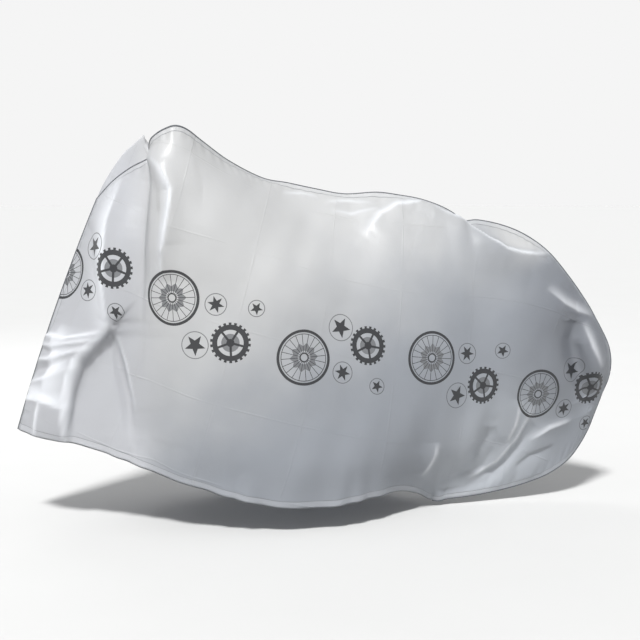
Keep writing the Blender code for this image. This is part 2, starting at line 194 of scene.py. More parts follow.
RIGHT_FOLDS = {
    "edge of the front strip": Fold(0.034, 0.080, 0.024, (
        (-0.812, 0.27), (-0.790, 0.45), (-0.740, 0.58), (-0.690, 0.72))),
    "trough behind the front strip": Fold(-0.030, 0.026, 0.050, (
        (-0.780, 0.26), (-0.745, 0.44), (-0.690, 0.57))),
    "trough from the pinch to the hem": Fold(-0.024, 0.026, 0.050, (
        (-0.560, 0.22), (-0.590, 0.40), (-0.650, 0.58))),
    "ridge under the second peak": Fold(0.016, 0.034, 0.050, (
        (-0.500, 0.62), (-0.510, 0.85), (-0.545, 1.02))),
    "fold from the crown": Fold(0.018, 0.022, 0.060, (
        (0.120, 0.900), (0.230, 0.965), (0.330, 0.985), (0.430, 0.930), (0.560, 0.855), (0.700, 0.815))),
    "trough at the back": Fold(-0.022, 0.050, 0.030, ((0.880, 0.36), (0.835, 0.46), (0.825, 0.58))),
    "long gather at the rear end of the hem": Fold(-0.030, 0.050, 0.032, (
        (0.440, 0.06), (0.560, 0.13), (0.690, 0.27))),
    "short gather at the rear end of the hem": Fold(-0.024, 0.040, 0.030, (
        (0.360, 0.08), (0.470, 0.19), (0.520, 0.33))),
    "sweep above the hem": Fold(-0.018, 0.060, 0.050, ((-0.330, 0.24), (-0.080, 0.18), (0.180, 0.21))),
}
FRONT_FADE, BACK_FADE = 1.5, 2.0        # the folds fade in over this many sections from each end
EDGE_FADE = 0.06                        # and over this share of the height from the seam

# Sharp creases, a few millimetres high, which stand along the film's own normal.
LEFT_CREASES = {
    "front of the pleat": Fold(-0.008, 0.014, 0.030, ((-0.543, 1.120), (-0.534, 1.004), (-0.518, 0.860))),
    "ridge of the pleat": Fold(0.034, 0.060, 0.016, (
        (-0.558, 1.150), (-0.524, 1.100), (-0.496, 1.032), (-0.500, 0.970), (-0.512, 0.870),
        (-0.518, 0.770))),
    "tuck inside the pleat": Fold(-0.008, 0.006, 0.010, ((-0.505, 1.050), (-0.514, 0.975), (-0.516, 0.920))),
    "front of the bright patch": Fold(-0.007, 0.014, 0.020, (
        (-0.735, 0.985), (-0.742, 0.940), (-0.722, 0.900), (-0.716, 0.812), (-0.704, 0.699),
        (-0.692, 0.632))),
    "crest of the bright patch": Fold(0.024, 0.110, 0.036, (
        (-0.624, 1.080), (-0.668, 0.936), (-0.678, 0.830), (-0.684, 0.728), (-0.680, 0.590))),
    "edge of the front strip": Fold(0.013, 0.009, 0.060, (
        (-0.660, 0.630), (-0.718, 0.580), (-0.752, 0.548), (-0.774, 0.520), (-0.796, 0.460), (-0.810, 0.390),
        (-0.819, 0.298), (-0.820, 0.200))),
    "crease across the strip at the pinch": Fold(0.022, 0.007, 0.060, (
        (-0.930, 0.625), (-0.872, 0.584), (-0.800, 0.575), (-0.680, 0.610))),
    "first wrinkle of the strip": Fold(0.010, 0.006, 0.022, (
        (-0.920, 0.560), (-0.830, 0.548), (-0.690, 0.590))),
    "second wrinkle of the strip": Fold(-0.009, 0.016, 0.007, (
        (-0.930, 0.545), (-0.840, 0.530), (-0.710, 0.575))),
    "third wrinkle of the strip": Fold(0.011, 0.007, 0.024, (
        (-0.940, 0.500), (-0.845, 0.508), (-0.730, 0.560))),
    "fourth wrinkle of the strip": Fold(-0.010, 0.018, 0.007, (
        (-0.940, 0.460), (-0.850, 0.482), (-0.750, 0.540))),
    "fifth wrinkle of the strip": Fold(0.010, 0.007, 0.024, (
        (-0.950, 0.420), (-0.865, 0.446), (-0.770, 0.500))),
    "crease above the foot of the strip": Fold(0.024, 0.050, 0.110, (
        (-1.000, 0.394), (-0.935, 0.382), (-0.870, 0.382), (-0.790, 0.360))),
    "lit face of the strip": Fold(0.013, 0.040, 0.050, ((-0.820, 0.620), (-0.835, 0.500), (-0.880, 0.370))),
    "upright crease at the foot of the strip": Fold(0.014, 0.030, 0.008, (
        (-0.860, 0.400), (-0.884, 0.335), (-0.901, 0.260))),
    "short crease right of the pinch": Fold(-0.016, 0.008, 0.040, (
        (-0.680, 0.620), (-0.644, 0.504), (-0.622, 0.400), (-0.616, 0.290))),
    "light facet right of the pinch": Fold(0.008, 0.050, 0.012, (
        (-0.660, 0.610), (-0.622, 0.500), (-0.600, 0.360))),
    "ridge forward of the crown": Fold(0.010, 0.012, 0.090, (
        (0.122, 0.888), (0.150, 0.922), (0.186, 0.956), (0.240, 0.979), (0.385, 0.998))),
    "glint forward of the crown": Fold(0.006, 0.006, 0.020, ((0.020, 0.965), (0.090, 0.955), (0.190, 0.975))),
    "hollow under the crown": Fold(-0.010, 0.026, 0.022, ((0.250, 0.956), (0.300, 0.964), (0.360, 0.945))),
    "ridge behind the crown": Fold(0.026, 0.010, 0.080, (
        (0.280, 1.010), (0.345, 0.990), (0.406, 0.952), (0.494, 0.903), (0.539, 0.870), (0.600, 0.836),
        (0.652, 0.825), (0.712, 0.819), (0.800, 0.822))),
    "fold into the second notch": Fold(-0.012, 0.012, 0.020, (
        (0.474, 0.940), (0.520, 0.900), (0.575, 0.868))),
    "crease where the ridge meets the back": Fold(-0.010, 0.012, 0.009, (
        (0.700, 0.813), (0.752, 0.806), (0.790, 0.822))),
    "fold down from the ridge": Fold(-0.005, 0.036, 0.036, ((0.712, 0.810), (0.692, 0.772), (0.662, 0.670))),
    "tuck at the back seam": Fold(-0.005, 0.014, 0.018, ((0.886, 0.672), (0.858, 0.690), (0.800, 0.715))),
    "band lit at the back": Fold(0.007, 0.022, 0.044, (
        (0.740, 0.710), (0.800, 0.660), (0.862, 0.632), (0.930, 0.610))),
    "crease at the back": Fold(-0.024, 0.040, 0.020, (
        (0.925, 0.290), (0.882, 0.400), (0.861, 0.462), (0.842, 0.541), (0.864, 0.620))),
    "ridge beside the back seam": Fold(0.007, 0.020, 0.020, ((0.944, 0.434), (0.905, 0.510), (0.880, 0.596))),
    "crease of the long gather": Fold(-0.013, 0.030, 0.014, (
        (0.430, 0.035), (0.545, 0.077), (0.615, 0.137), (0.713, 0.257))),
    "ridge over the long gather": Fold(0.014, 0.030, 0.012, (
        (0.480, 0.085), (0.575, 0.140), (0.640, 0.225), (0.690, 0.330))),
    "second ridge over the long gather": Fold(0.010, 0.026, 0.010, (
        (0.600, 0.205), (0.625, 0.270), (0.640, 0.350))),
    "crease of the short gather": Fold(-0.010, 0.022, 0.010, (
        (0.372, 0.080), (0.470, 0.108), (0.535, 0.123), (0.562, 0.194))),
    "crease above the short gather": Fold(-0.010, 0.016, 0.008, (
        (0.500, 0.140), (0.516, 0.180), (0.545, 0.262))),
    "fold rising from the hem": Fold(0.010, 0.040, 0.014, ((0.300, 0.120), (0.335, 0.200), (0.338, 0.235))),
    "side tuck of the long gather": Fold(-0.010, 0.010, 0.020, (
        (0.640, 0.105), (0.700, 0.150), (0.790, 0.175))),
    "second side tuck of the long gather": Fold(0.008, 0.010, 0.022, (
        (0.690, 0.205), (0.760, 0.245), (0.850, 0.262))),
    "tuck where the hem ends": Fold(-0.012, 0.014, 0.010, ((0.362, 0.060), (0.400, 0.046), (0.455, 0.052))),
    "first glint on the seam": Fold(0.006, 0.006, 0.014, ((-0.132, 1.024), (-0.070, 1.022), (-0.009, 1.008))),
    "second glint on the seam": Fold(0.006, 0.006, 0.014, ((0.008, 0.992), (0.090, 0.994), (0.168, 0.990))),
    "fold down from the peak of the seam": Fold(-0.006, 0.050, 0.030, (
        (-0.420, 1.170), (-0.400, 1.060), (-0.410, 0.930))),
}
RIGHT_CREASES = {
    "ridge under the second peak": Fold(0.008, 0.010, 0.018, (
        (-0.560, 1.060), (-0.536, 0.940), (-0.520, 0.800))),
    "edge of the front strip": Fold(0.010, 0.022, 0.010, (
        (-0.700, 0.960), (-0.718, 0.850), (-0.700, 0.720), (-0.722, 0.640))),
    "first wrinkle of the strip": Fold(-0.005, 0.010, 0.010, (
        (-0.880, 0.540), (-0.830, 0.528), (-0.760, 0.540))),
    "second wrinkle of the strip": Fold(0.005, 0.010, 0.012, (
        (-0.890, 0.488), (-0.840, 0.500), (-0.782, 0.485))),
    "crease right of the pinch": Fold(-0.009, 0.010, 0.020, (
        (-0.650, 0.570), (-0.610, 0.450), (-0.585, 0.330))),
    "ridge forward of the crown": Fold(0.008, 0.010, 0.022, ((0.100, 0.890), (0.170, 0.945), (0.300, 0.985))),
    "ridge behind the crown": Fold(0.008, 0.010, 0.016, (
        (0.350, 0.985), (0.430, 0.935), (0.540, 0.865), (0.660, 0.820), (0.760, 0.805))),
    "fold down from the ridge": Fold(-0.008, 0.022, 0.018, ((0.640, 0.810), (0.620, 0.740), (0.580, 0.640))),
    "band at the back": Fold(0.009, 0.018, 0.014, ((0.740, 0.670), (0.820, 0.630), (0.905, 0.600))),
    "crease at the back": Fold(-0.011, 0.018, 0.012, ((0.900, 0.350), (0.850, 0.450), (0.835, 0.560))),
    "crease of the long gather": Fold(-0.012, 0.020, 0.012, ((0.450, 0.065), (0.560, 0.120), (0.690, 0.255))),
    "crease of the short gather": Fold(-0.010, 0.014, 0.010, (
        (0.365, 0.085), (0.460, 0.150), (0.520, 0.290))),
}

# What each panel is made from. The printed band is counted from band_start, a length along the film behind
# the front edge, which is not the same on both panels.
Side = namedtuple("Side", "name node out_sign widths folds creases peaks seed band_start")
SIDES = (
    Side("film_left", "panel_left", -1, LEFT_WIDTHS, LEFT_FOLDS, LEFT_CREASES, False, 11, 0.100),
    Side("film_right", "panel_right", 1, RIGHT_WIDTHS, RIGHT_FOLDS, RIGHT_CREASES, True, 23, 0.285),
)

# The line that the middle of the printed band follows, as length and height.
BAND_LINE = (
    (-0.960, 0.870), (-0.747, 0.788), (-0.556, 0.705), (-0.233, 0.606), (0.191, 0.494), (0.599, 0.437),
    (0.893, 0.331), (0.990, 0.296))
BAND_SPREAD = 12                        # columns on each side over which its direction is averaged

# The view of the photograph.
FRAME_PIXELS = 640
LENS_PIXELS = 1293.6                    # focal length, in pixels of the frame
SENSOR = 36.0                           # in millimetres, Blender's own default width
CAMERA_TARGET = (0.0, 0.0, 0.612)       # length, side and height of the point in the middle of the frame
CAMERA_AZIMUTH, CAMERA_HEIGHT, CAMERA_AWAY = radians(-10), radians(6), 4.2


def linear(hex_colour):
    """Turns an sRGB colour, written as #rrggbb, into linear red, green, blue and an alpha of 1."""
    shares = [int(hex_colour[i:i + 2], 16) / 255 for i in (1, 3, 5)]
    return (*(c / 12.92 if c <= 0.04045 else ((c + 0.055) / 1.055) ** 2.4 for c in shares), 1.0)


def colour_property(name, description, hex_colour):
    """A colour that the user can change, given as #rrggbb."""
    return FloatVectorProperty(name=name, description=description, subtype="COLOR", size=4, min=0, max=1,
                               default=linear(hex_colour))


def length_property(name, description, metres):
    """A length that the user can change."""
    return FloatProperty(name=name, description=description, default=metres, min=0, precision=4,
                         unit="LENGTH")


def share_property(name, description, share):
    """A share from 0 to 1 that the user can change."""
    return FloatProperty(name=name, description=description, default=share, min=0, max=1, subtype="FACTOR")


class CoverFilm(bpy.types.PropertyGroup):
    """Sizes and finish of the film."""
    columns: IntProperty(name="Columns", description="Faces from the front to the back", default=300, min=60)
    rows: IntProperty(name="Rows", description="Faces from the foot to the top", default=146, min=30)
    thickness: length_property("Thickness", "Thickness of the film as modelled", 0.0008)
    hem: length_property("Hem", "Width of the turned and welded hem", 0.022)
    flange: length_property("Flange", "Width of the seam allowance that shows through beside the welt", 0.016)
    drape: length_property("Drape", "Height of the soft waves in the film", 0.0022)
    pucker: length_property("Pucker", "Height of the puckers along the seam", 0.0016)
    pucker_pitch: length_property("Pucker pitch", "Distance between two puckers along the seam", 0.036)
    ripple: length_property("Hem ripple", "Height of the ripples along the hem", 0.0035)
    ripple_pitch: length_property("Hem ripple pitch", "Distance between two ripples along the hem", 0.115)
    # Painted light and shade: the upper colour is painted light at the top and over the ridge behind the
    # crown, the lower colour is painted shade low down, and the back colour is painted shade at the back.
    colour: colour_property("Film", "Colour of the film at the top, where light falls in", "#cbcbca")
    # Painted shade: the front film is painted greyer at the front edge.
    front: colour_property("Front film", "Colour of the film at the front edge", "#bcbdc0")
    low: colour_property("Lower film", "Colour of the film low down, where less light falls in", "#95999f")
    back: colour_property("Back film", "Colour of the film in the shade at the rounded back", "#7d8086")
    # Painted light: the film is painted lighter where it gathers at the end of the hem.
    gathered: colour_property("Gathered film", "Colour of the film gathered at the end of the hem", "#b6babf")
    double: colour_property("Doubled film", "Colour of the film where it is doubled and welded", "#d6d7d9")
    # Partly the film's own whitening along sharp creases and partly a painted highlight on them.
    whitened_and_highlit: colour_property("Creased film", "Colour of the film that a crease has whitened", "#f4f6f9")
    edge: colour_property("Edge", "Colour of a weld and of the cut edge", "#77797c")
    glow: colour_property("Glow", "Colour of the light that comes through the film", "#cfd2d8")
    translucence: share_property("Translucence", "Share of the light that comes through", 0.38)
    roughness: share_property("Roughness", "Roughness of the frosted face", 0.40)


class CoverPrint(bpy.types.PropertyGroup):
    """Sizes and ink of the printed band."""
    pitch: length_property("Pitch", "Distance between two groups of motifs", 0.43)
    wheel: length_property("Rosette", "Diameter of the spoked rosette", 0.168)
    cog: length_property("Cog", "Diameter of the toothed ring without its teeth", 0.108)
    star: length_property("Star", "Diameter of the star", 0.066)
    line: length_property("Line", "Width of a printed line", 0.0042)
    ink: colour_property("Ink", "Charcoal ink of the lines", "#232427")
    tint: colour_property("Tint", "Grey ink of the shaded areas", "#77797c")


class CoverWelt(bpy.types.PropertyGroup):
    """Sizes and colour of the bound seam."""
    width: length_property("Width", "Width of the welt, square to the film", 0.0042)
    height: length_property("Height", "Height of the welt, in line with the film", 0.0052)
    step: length_property("Step", "Distance between two rings of the welt", 0.0025)
    stitch: length_property("Stitch", "Length of one stitch with its gap", 0.0075)
    colour: colour_property("Welt", "Colour of the binding tape", "#5b5e63")
    thread: colour_property("Thread", "Colour of the stitching", "#7c8086")


class CoverStage(bpy.types.PropertyGroup):
    """Floor and light."""
    floor: colour_property("Floor", "Colour of the floor", "#c3c3c2")
    horizon: colour_property("Backdrop", "Colour of the surroundings near the horizon", "#f5f5f5")
    ceiling: colour_property("Ceiling", "Colour of the surroundings further up", "#b7b8ba")
    key: FloatProperty(name="Key light", description="Strength of the light from the upper left", default=4.6,
                       min=0)
    softness: FloatProperty(name="Softness", description="Angle that the key light fills", default=radians(9),
                            min=0, subtype="ANGLE")
    back: FloatProperty(name="Back light", description="Power of the light behind the cover", default=45,
                        min=0, unit="POWER")


# A Mix node has inputs and outputs of the same names for numbers and for colours. Those for colours have
# these numbers.
MIX_UNDER, MIX_OVER = 6, 7
MIX = {"output": 2, "data_type": "RGBA"}


def add_node(tree, kind, inputs=(), output=0, **settings):
    """Adds a node with its settings and links.

    Its inputs are given in their order, or by number or name. It gives one output, or a slice of the outputs.
    """
    node = tree.nodes.new("ShaderNode" + kind)
    for name, value in settings.items():
        setattr(node, name, value)
    for key, value in inputs.items() if isinstance(inputs, dict) else enumerate(inputs):
        if isinstance(value, bpy.types.NodeSocket):
            tree.links.new(value, node.inputs[key])
        elif value is not None:
            node.inputs[key].default_value = value
    return node.outputs[output]


def new_material(name):
    """An empty material, the function that adds its nodes, and its output's surface."""
    made = bpy.data.materials.new(name)
    made.use_nodes = True
    made.node_tree.nodes.clear()
    end = made.node_tree.nodes.new("ShaderNodeOutputMaterial")
    return made, partial(add_node, made.node_tree), end.inputs["Surface"]


def hermite(start, end, start_slope, end_slope, step, t):
    """Cubic from start to end over a step, with the given slopes at both."""
    return ((1 + 2 * t) * (1 - t) ** 2 * start + t * (1 - t) ** 2 * step * start_slope
            + t * t * (3 - 2 * t) * end + t * t * (t - 1) * step * end_slope)


def smooth(knots, values, at):
    """Curve through the rows of a table: cubics, with each slope taken from the rows on both sides."""
    knots, values = np.asarray(knots, float), np.asarray(values, float)
    slopes = np.gradient(values, knots, axis=0)
    at = np.clip(at, knots[0], knots[-1])
    i = np.clip(np.searchsorted(knots, at, side="right") - 1, 0, len(knots) - 2)
    step = knots[i + 1] - knots[i]
    t = (at - knots[i]) / step
    if values.ndim > 1:
        step, t = step[..., None], t[..., None]
    return hermite(values[i], values[i + 1], slopes[i], slopes[i + 1], step, t)


def smooth_columns(knots, values, at):
    """The same curve, worked out in each column of a grid from that column's own values."""
    knots = np.asarray(knots, float)
    slopes = np.gradient(values, knots, axis=0)
    i = np.clip(np.searchsorted(knots, at, side="right") - 1, 0, len(knots) - 2)
    step = knots[i + 1] - knots[i]
    starts, ends = (np.take_along_axis(table, j, axis=0) for table, j in ((values, i), (values, i + 1)))
    start_slopes, end_slopes = (np.take_along_axis(slopes, j, axis=0) for j in (i, i + 1))
    return hermite(starts, ends, start_slopes, end_slopes, step, (at - knots[i]) / step)


def read_table(table, q):
    """The columns of a table whose rows start with a section number, each as a curve at the numbers q."""
    rows = np.array(table)
    return np.moveaxis(smooth(rows[:, 0], rows, q), -1, 0)


def read_sections(q):
    """The sections at the numbers q, which may lie between two rows of the table."""
    return Section(*np.moveaxis(smooth(np.arange(LAST + 1), SECTIONS, q), -1, 0))


def bump(at, centre, reach):
    """1 at the centre, falling along a cosine to 0 at the reach on both sides."""
    t = np.clip(np.abs(at - centre) / reach, 0.0, 1.0)
    return 0.5 + 0.5 * np.cos(pi * t)


def even_sections(columns):
    """Section numbers, spaced evenly by how far the foot or the top moves, whichever moves further."""
    steps_each = 50
    dense = np.linspace(0, LAST, steps_each * LAST + 1)
    at = read_sections(dense)
    top = np.linalg.norm(np.diff([at.top_x, at.seam_y, at.top_z], axis=1), axis=0)
    foot = np.linalg.norm(np.diff([at.foot_x, at.foot_y, at.foot_z], axis=1), axis=0)
    run = np.concatenate([[0.0], np.cumsum(np.maximum(top, foot))])
    return np.interp(np.linspace(0, run[-1], columns + 1), run, dense)


def rounded(share):
    """Profile of a soft fold: exp(-(distance / width)^2)."""
    return np.exp(-share ** 2)


def crisp(share):
    """Profile of a crease: exp(-distance / width), with its crest rounded over a fifth of the width."""
    return np.exp(0.2 - np.sqrt(share ** 2 + 0.04))


# How the sides of a fold fall away, the share of its height that it keeps at its ends, and how fast it gets
# there.
Style = namedtuple("Style", "sides end_share taper")
SOFT_FOLD = Style(rounded, 0.4, 0.5)
CREASE = Style(crisp, 0.0, 0.8)


def beside_fold(x, z, fold):
    """Distance from a fold's polyline, the side of it, and how full the fold is there, from 0 to 1.

    The side is above zero on the left. The fullness is 4 * share * (1 - share), with the share of the way
    along the polyline.
    """
    points = np.array(fold.points)
    nearest = np.full(x.shape, np.inf)
    side = np.zeros(x.shape)
    share = np.zeros(x.shape)
    lengths = np.hypot(*np.diff(points, axis=0).T)
    starts = np.concatenate([[0.0], np.cumsum(lengths)])
    for start, end, length, run in zip(points[:-1], points[1:], lengths, starts):
        along = (end - start) / length
        dx, dz = x - start[0], z - start[1]
        t = np.clip(dx * along[0] + dz * along[1], 0.0, length)
        distance = np.hypot(dx - t * along[0], dz - t * along[1])
        closer = distance < nearest
        nearest = np.where(closer, distance, nearest)
        side = np.where(closer, along[0] * dz - along[1] * dx, side)
        share = np.where(closer, (run + t) / starts[-1], share)
    return nearest, side, np.clip(4.0 * share * (1.0 - share), 0.0, 1.0)


def fold_relief(x, z, fold, style):
    """Height of a fold beside its polyline: out times the profile of its sides, shallower at its ends."""
    nearest, side, fullness = beside_fold(x, z, fold)
    width = np.where(side > 0, fold.width_left, fold.width_right)
    kept = style.end_share + (1 - style.end_share) * fullness ** style.taper
    return fold.out * kept * style.sides(nearest / width)


# A raised crease whitens the film, partly its own whitening and partly a painted highlight, in full from
# this height on, and at least this far to each side.
WHITE_HEIGHT, WHITE_REACH = 0.012, 0.004


def crease_whitening_and_highlights(x, z, creases):
    """How white the film is along its raised creases, from 0 to 1.

    It falls away as exp(-(distance / reach)^2). On the steep side the reach is the width of that side, where
    that is more than the least reach.
    """
    # The white is partly the film's own whitening and partly a painted highlight, reaching further on the
    # steep side of each crease.
    white = np.zeros(x.shape)
    for crease in creases.values():
        nearest, side, fullness = beside_fold(x, z, crease)
        steep_left = crease.width_left < crease.width_right
        steep = min(crease.width_left, crease.width_right)
        reach = np.where((side > 0) == steep_left, max(steep, WHITE_REACH), WHITE_REACH)
        strength = np.clip(crease.out / WHITE_HEIGHT, 0, 1) * fullness ** CREASE.taper
        white = np.maximum(white, strength * np.exp(-(nearest / reach) ** 2))
    return white


def fold_fade(q, v):
    """1 over most of a panel, falling to 0 at both ends and at the seam, where the panels are bound."""
    from_seam = np.where(q > HEM_END, np.minimum(v, 1 - v), 1 - v)
    ends = np.clip(q / FRONT_FADE, 0, 1) * np.clip((LAST - q) / BACK_FADE, 0, 1)
    return ends * np.clip(from_seam / EDGE_FADE, 0, 1)


def main_shape(side, q, v, folded=True):
    """Points of a panel at section numbers q and shares v of the way up, and how far out it stands at least.

    A point lies at a share of the way from the foot to the top of its section. It stands out sideways by the
    table of widths and by the main folds.
    """
    at = read_sections(q)
    x = at.foot_x + (at.top_x - at.foot_x) * v + 4 * v * (1 - v) * at.bow
    z = at.foot_z + (at.top_z - at.foot_z) * v

    width = Widths(*read_table(side.widths, q[0]))
    hem = np.where(q[0] > HEM_END, side.out_sign * at.foot_y[0], width.hem)
    seam = side.out_sign * at.seam_y[0]
    widths = np.array([hem, width.low, width.middle, width.high, width.shoulder, seam])
    out = smooth_columns(WIDTH_HEIGHTS, widths, v)
    if folded:
        for fold in side.folds.values():
            out = out + fold_fade(q, v) * fold_relief(x, z, fold, SOFT_FOLD)
    least = side.out_sign * (at.foot_y + (at.seam_y - at.foot_y) * v) + EDGE_APART
    out = np.maximum(out, least)

    if side.peaks:
        peak = Peak(*read_table(PEAK, q))
        z = z + peak.rise * bump(v, PEAK_AT, PEAK_REACH) - peak.sag * bump(v, SAG_AT, SAG_REACH)
        x = x + peak.back * bump(v, SAG_AT, SAG_REACH)
    return np.stack([x, side.out_sign * out, z], axis=-1), least


def running_length(points, axis):
    """Length along each line of a grid from its first point."""
    steps = np.linalg.norm(np.diff(points, axis=axis), axis=-1)
    return np.insert(np.cumsum(steps, axis=axis), 0, 0.0, axis=axis)


def grid_normals(points, out_sign):
    """Outward normals of a grid: the cross product of its two directions."""
    across, up = np.gradient(points, axis=1), np.gradient(points, axis=0)
    normals = np.cross(across, up) * -out_sign
    return normals / np.maximum(np.linalg.norm(normals, axis=-1, keepdims=True), 1e-9)


def band_coordinates(points):
    """Length along the printed band and distance from its middle, measured on the film, for a grid of points.

    Each column crosses the middle line of the band at one point. The length between two crossings adds up
    along the band, and a point further up the column is shifted by how far the column leans over the band.
    """
    up = running_length(points, 0)
    x, z = points[..., 0], points[..., 2]
    line_x, line_z = np.array(BAND_LINE).T
    over = z - smooth(line_x, line_z, x)
    columns = np.arange(points.shape[1])
    below = np.clip(np.sum(over < 0, axis=0) - 1, 0, len(points) - 2)
    share = (-over[below, columns] / (over[below + 1, columns] - over[below, columns]))[:, None]
    crossing = points[below, columns] * (1 - share) + points[below + 1, columns] * share
    height = up[below, columns] * (1 - share[:, 0]) + up[below + 1, columns] * share[:, 0]

    kernel = np.ones(2 * BAND_SPREAD + 1) / (2 * BAND_SPREAD + 1)
    padded = np.pad(crossing, ((BAND_SPREAD, BAND_SPREAD), (0, 0)), mode="reflect", reflect_type="odd")
    line = np.stack([np.convolve(padded[:, i], kernel, mode="valid") for i in range(3)], axis=-1)
    along = np.gradient(line, axis=0)
    along /= np.linalg.norm(along, axis=-1, keepdims=True)
    column = points[below + 1, columns] - points[below, columns]
    column /= np.linalg.norm(column, axis=-1, keepdims=True)
    lean = np.sum(along * column, axis=-1)
    length = running_length(crossing[None], 1)[0]
    away = up - height
    return length + away * lean, away * np.sqrt(1 - lean ** 2)


# The soft waves: how many, the shortest and how many times longer the longest is, how far their crests lean,
# and how far, in radians of a wave, the crests bend to and fro over one bend's length.
WAVE_COUNT, WAVE_SHORTEST, WAVE_RANGE = 26, 0.10, 5
WAVE_LEAN = radians(28)
WAVE_BEND, BEND_LENGTH = 0.8, 0.6


def soft_waves(s, t, height, seed):
    """Sum of seeded cosine waves, mostly with upright crests. Its standard deviation is the given height."""
    rng = np.random.default_rng(seed)
    total = np.zeros(s.shape)
    for wavelength in WAVE_SHORTEST * WAVE_RANGE ** rng.random(WAVE_COUNT):
        turn = rng.normal(0, WAVE_LEAN)
        phase = (s * cos(turn) + t * sin(turn)) * tau / wavelength + rng.random() * tau
        bend = WAVE_BEND * np.sin(t * tau / BEND_LENGTH + rng.random() * tau)
        total += wavelength * np.cos(phase + bend)
    return height * total / total.std()


ROW_CROWDING = 0.3                      # how much closer the rows lie towards the seam, at the front edge
PUCKER_WANDER, WANDER_PITCHES = 1.6, 9  # how far the puckers shift, in radians, and over how many pitches
RIPPLE_SWAY, SWAY_PITCHES = 2.0, 3.3    # the same for the ripples of the hem
RIPPLE_REACH = 0.06                     # how far up from the hem the ripples reach
FLAT_AT_SEAM = 0.016                    # over which distance from the seam the relief comes in
FAR_FROM_HEM = 1.0                      # stands for the distance from the hem where there is no hem
FREE = -1.0                             # least distance out where the film may cross the middle


def film_grid(side, film):
    """Points of one panel of film, its band coordinates, and the values that its material reads.

    These are the distances from seam and hem, and how white the creases are, partly the film's own whitening
    and partly a painted highlight. On top of the main shape lie sharp creases, soft waves, puckers along the
    seam and ripples along the hem, all along the film's normal.
    Puckers rise as d * exp(1 - d) with the distance d from the seam, in units of a third of a pitch.
    """
    numbers = even_sections(film.columns)
    q = np.broadcast_to(numbers, (film.rows + 1, film.columns + 1))
    v = 1.0 - np.linspace(1.0, 0.0, film.rows + 1)[:, None] ** (1.0 + ROW_CROWDING * (1.0 - q / LAST))
    points, least = main_shape(side, q, v)

    up = running_length(points, 0)
    across = running_length(points, 1)
    beside = np.minimum(across, across[:, -1:] - across)
    over_or_under = np.where(q > HEM_END, np.minimum(up, up[-1] - up), up[-1] - up)
    seam = np.minimum(beside, over_or_under)
    hem = np.where(q > HEM_END, FAR_FROM_HEM, up)
    s, t = band_coordinates(main_shape(side, q, v, folded=False)[0])
    s -= side.band_start

    x, z = points[..., 0], points[..., 2]
    relief = soft_waves(s, t, film.drape, side.seed)
    for crease in side.creases.values():
        relief += fold_relief(x, z, crease, CREASE)
    run = np.where(beside < over_or_under, up, across)
    near = 3 * seam / film.pucker_pitch
    wander = PUCKER_WANDER * np.sin(run * tau / (WANDER_PITCHES * film.pucker_pitch) + side.seed)
    relief += film.pucker * near * np.exp(1 - near) * np.cos(run * tau / film.pucker_pitch + wander)
    sway = RIPPLE_SWAY * np.sin(across * tau / (SWAY_PITCHES * film.ripple_pitch))
    relief += film.ripple * np.exp(-hem / RIPPLE_REACH) * np.cos(across * tau / film.ripple_pitch + sway)
    relief *= 1 - np.exp(-(seam / FLAT_AT_SEAM) ** 2)
    points = points + grid_normals(points, side.out_sign) * relief[..., None]
    out = np.maximum(side.out_sign * points[..., 1], np.where(side.peaks & (v > PEAK_AT), FREE, least))
    points[..., 1] = side.out_sign * out
    return points - CROWN, s, t, {"seam": seam, "hem": hem, "crease": crease_whitening_and_highlights(x, z, side.creases)}


def add_mesh(name, points, faces, cut=None, attributes=None):
    """Smooth mesh object at the origin, with flat coordinates as a UV map and other values as attributes."""
    mesh = bpy.data.meshes.new(name)
    mesh.from_pydata(points.reshape(-1, 3).tolist(), [], faces.tolist())
    if cut is not None:
        mesh.uv_layers.new(name="cut").data.foreach_set("uv", cut.reshape(-1, 2)[faces.ravel()].ravel())
    for label, values in (attributes or {}).items():
        layer = mesh.attributes.new(label, "FLOAT", "POINT")
        layer.data.foreach_set("value", values.astype(np.float32).ravel())
    mesh.shade_smooth()
    made = bpy.data.objects.new(name, mesh)
    bpy.context.collection.objects.link(made)
    return made


def grid_faces(rows, columns, turned):
    """Quads between the points of a grid with this many rows and columns of points."""
    index = np.arange(rows * columns).reshape(rows, columns)
    a, b, c, d = index[:-1, :-1], index[:-1, 1:], index[1:, 1:], index[1:, :-1]
    return np.stack([corner.ravel() for corner in ((a, d, c, b) if turned else (a, b, c, d))], axis=-1)


SEAM_COLUMNS, SEAM_ROWS = 1200, 400     # steps from front to back and from foot to top that place the seam


def seam_line(step):
    """The middle of the seam: up the front edge, along the top, down the back and forward to the hem's end.

    The line lies halfway between the edges of the two panels, and its points are evenly spaced.
    """
    numbers = even_sections(SEAM_COLUMNS)
    q = np.broadcast_to(numbers, (SEAM_ROWS + 1, len(numbers)))
    v = np.broadcast_to(np.linspace(0, 1, SEAM_ROWS + 1)[:, None], q.shape)
    middle = sum(main_shape(side, q, v)[0] for side in SIDES) / 2 - CROWN
    under = middle[0, numbers > HEM_END]
    line = np.vstack([middle[:, 0], middle[-1, 1:], middle[-2::-1, -1], under[-2::-1]])
    length = running_length(line[None], 1)[0]
    even = np.linspace(0, length[-1], int(length[-1] / step) + 1)
    return np.stack([np.interp(even, length, line[:, i]) for i in range(3)], axis=-1), even


def motif_place(add, s, t, x, y):
    """Distance from a motif's centre and turns around it, with the centre at x, y within its group."""
    dx = add("Math", (s, x), operation="SUBTRACT")
    dy = add("Math", (t, y), operation="SUBTRACT")
    distance = add("VectorMath", (add("CombineXYZ", (dx, dy)),), output="Value", operation="LENGTH")
    turns = add("Math", (add("Math", (dy, dx), operation="ARCTAN2"), tau), operation="DIVIDE")
    return distance, turns


